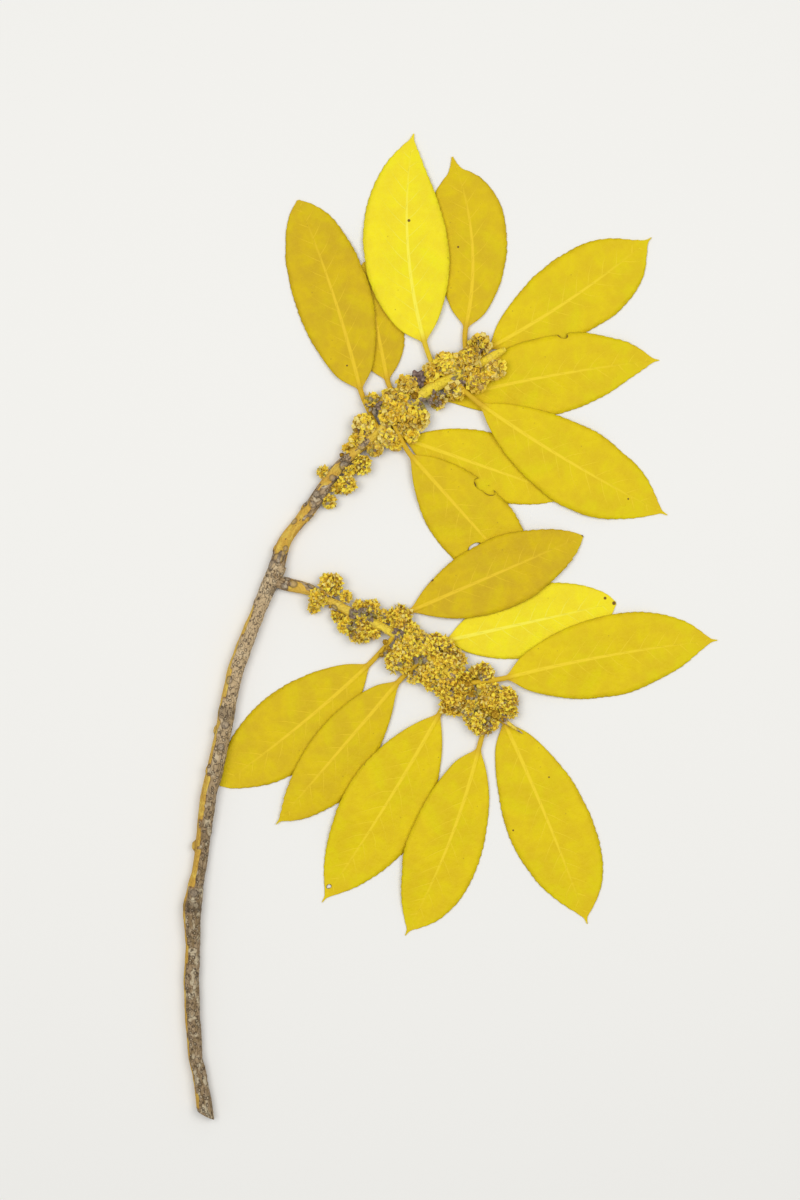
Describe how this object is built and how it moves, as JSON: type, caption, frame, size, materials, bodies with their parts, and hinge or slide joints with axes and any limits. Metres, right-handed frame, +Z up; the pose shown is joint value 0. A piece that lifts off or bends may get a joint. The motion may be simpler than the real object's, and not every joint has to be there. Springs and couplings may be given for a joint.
{
  "type": "pressed holly branch",
  "caption": "Cut holly branch, dried and pressed flat: a forked stem with leathery yellow leaves and dense tufts of tiny flowers along its shoots.",
  "frame": {"origin": "middle of the branch's box in plan, on the surface that the branch lies on", "axes": "+Y from the cut foot of the stem towards the upper shoot, +X to the right where the leaves fan out, +Z up from the surface"},
  "size_m": [0.2026, 0.3739, 0.0097],
  "materials": {
    "bark": "matte",
    "shoot_bark": "matte",
    "leaf_gold": "satin",
    "leaf_bright": "satin",
    "leaf_ochre": "satin",
    "flowers": "matte",
    "old_bud": "matte"
  },
  "bodies": {
    "root": {"main_stem": "bark", "upper_shoot": "shoot_bark", "side_shoot": "shoot_bark", "leaf_upper_1": "leaf_ochre", "leaf_upper_2": "leaf_ochre", "leaf_upper_3": "leaf_bright", "leaf_upper_4": "leaf_ochre", "leaf_upper_5": "leaf_gold", "leaf_upper_6": "leaf_gold", "leaf_upper_7": "leaf_gold", "leaf_upper_8": "leaf_gold", "leaf_upper_9": "leaf_gold", "leaf_side_1": "leaf_ochre", "leaf_side_2": "leaf_bright", "leaf_side_3": "leaf_gold", "leaf_side_4": "leaf_ochre", "leaf_side_5": "leaf_ochre", "leaf_side_6": "leaf_gold", "leaf_side_7": "leaf_gold", "leaf_side_8": "leaf_gold", "flowers_upper_01": "flowers", "flowers_upper_02": "flowers", "flowers_upper_03": "flowers", "flowers_upper_04": "flowers", "flowers_upper_05": "flowers", "flowers_upper_06": "flowers", "flowers_upper_07": "flowers", "flowers_upper_08": "flowers", "flowers_upper_09": "flowers", "flowers_upper_10": "flowers", "flowers_upper_11": "flowers", "flowers_upper_12": "flowers", "flowers_upper_13": "flowers", "flowers_upper_14": "flowers", "flowers_upper_15": "flowers", "flowers_upper_16": "flowers", "flowers_upper_17": "flowers", "flowers_upper_18": "flowers", "flowers_upper_19": "flowers", "flowers_upper_20": "flowers", "flowers_side_01": "flowers", "flowers_side_02": "flowers", "flowers_side_03": "flowers", "flowers_side_04": "flowers", "flowers_side_05": "flowers", "flowers_side_06": "flowers", "flowers_side_07": "flowers", "flowers_side_08": "flowers", "flowers_side_09": "flowers", "flowers_side_10": "flowers", "flowers_side_11": "flowers", "flowers_side_12": "flowers", "flowers_side_13": "flowers", "flowers_side_14": "flowers", "flowers_side_15": "flowers", "flowers_side_16": "flowers", "flowers_side_17": "flowers", "flowers_side_18": "flowers", "flowers_side_19": "flowers", "old_bud": "old_bud"}
  },
  "joints": []
}
